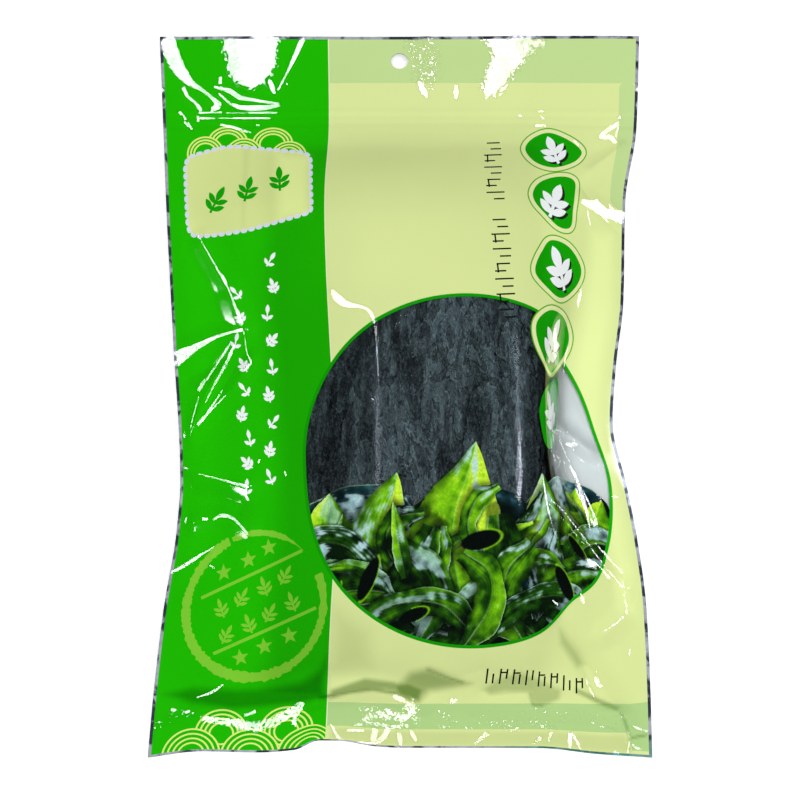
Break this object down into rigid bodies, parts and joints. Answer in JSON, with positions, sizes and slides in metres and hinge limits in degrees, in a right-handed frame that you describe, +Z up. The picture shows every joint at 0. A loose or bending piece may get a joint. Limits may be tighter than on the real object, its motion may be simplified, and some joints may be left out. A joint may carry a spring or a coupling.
{
  "type": "pouch of dried wakame",
  "caption": "Flat zip pouch of dried wakame lying on its back, pillow-shaped over the bundle of strands, with sealed edges, tear notches and a hang hole.",
  "frame": {"origin": "centre of the pouch's footprint, on the surface that it lies on", "axes": "+Y from the bottom seal to the hang hole, +X across to the right of the print, +Z up out of the printed front"},
  "size_m": [0.2, 0.294, 0.0424],
  "materials": {
    "printed_film": "gloss printed film over foil"
  },
  "bodies": {
    "root": {"pouch": "printed_film"}
  },
  "joints": []
}
